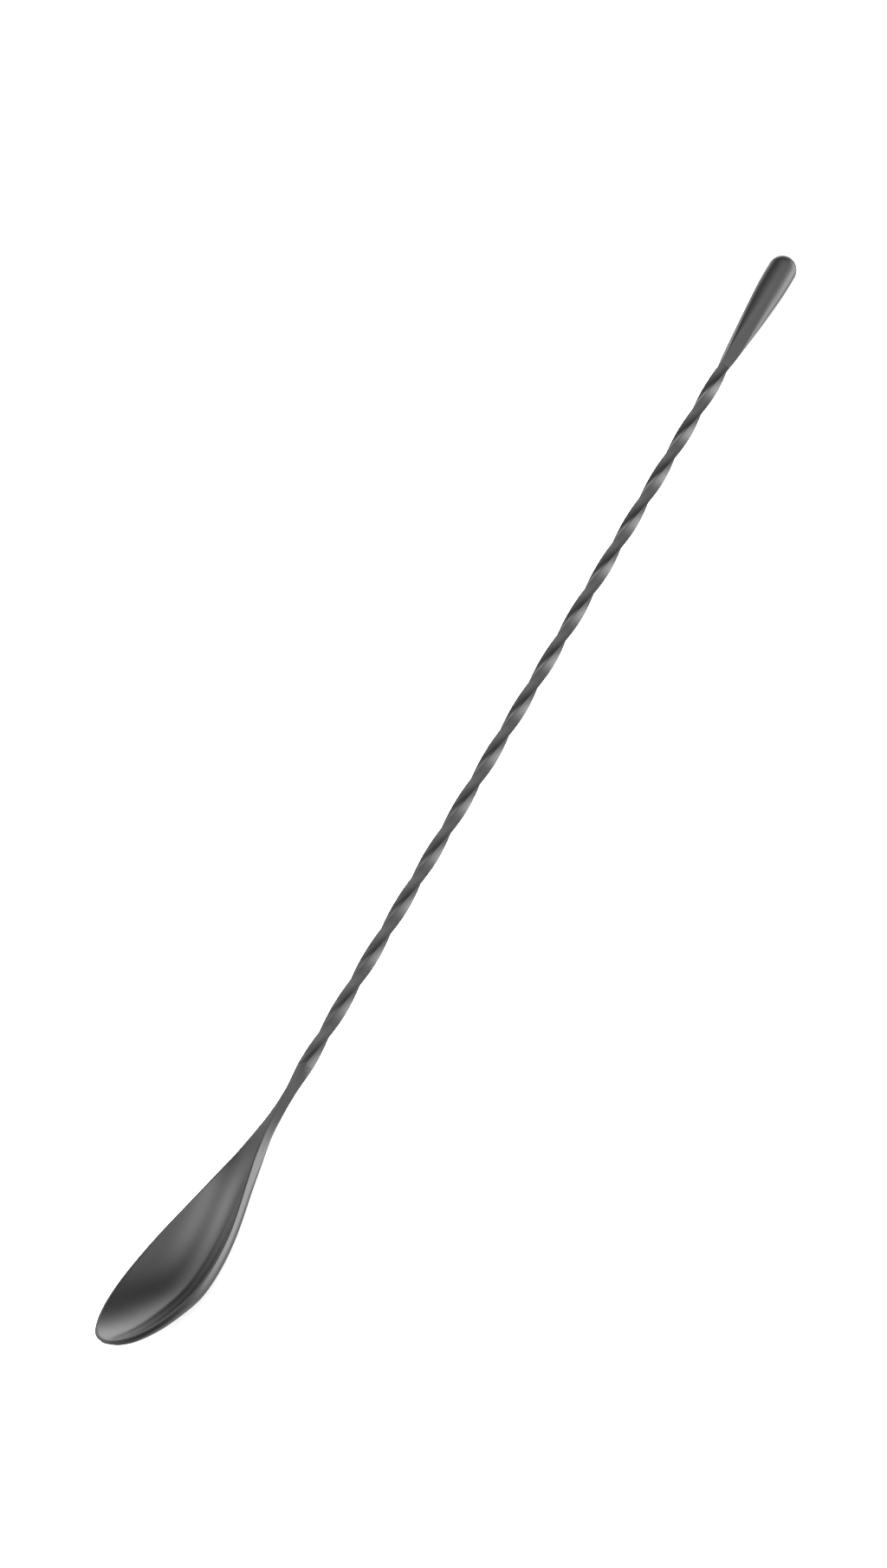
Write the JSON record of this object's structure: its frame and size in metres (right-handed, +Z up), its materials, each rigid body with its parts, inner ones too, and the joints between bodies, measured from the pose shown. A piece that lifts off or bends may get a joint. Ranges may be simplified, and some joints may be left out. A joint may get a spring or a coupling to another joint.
{
  "type": "bar spoon",
  "caption": "Long slim bar spoon with a teardrop bowl, a twisted square stem and a drop-shaped end weight, for stirring and layering drinks.",
  "frame": {"origin": "on the surface that the spoon lies on, under the middle of its length and width", "axes": "+X along the stem from the bowl's tip to the end weight, +Z up out of the bowl's open side, +Y across the bowl"},
  "size_m": [0.3, 0.0242, 0.011],
  "materials": {
    "coated_steel": "fine bead-blasted stainless steel with a dark grey satin coating",
    "coated_braze": "silver brazing metal filed flush, under the same dark grey satin coating"
  },
  "bodies": {
    "root": {"bowl": "coated_steel", "stem": "coated_steel", "finial": "coated_steel", "neck_braze_ring": "coated_braze", "finial_braze_ring": "coated_braze"}
  },
  "joints": []
}
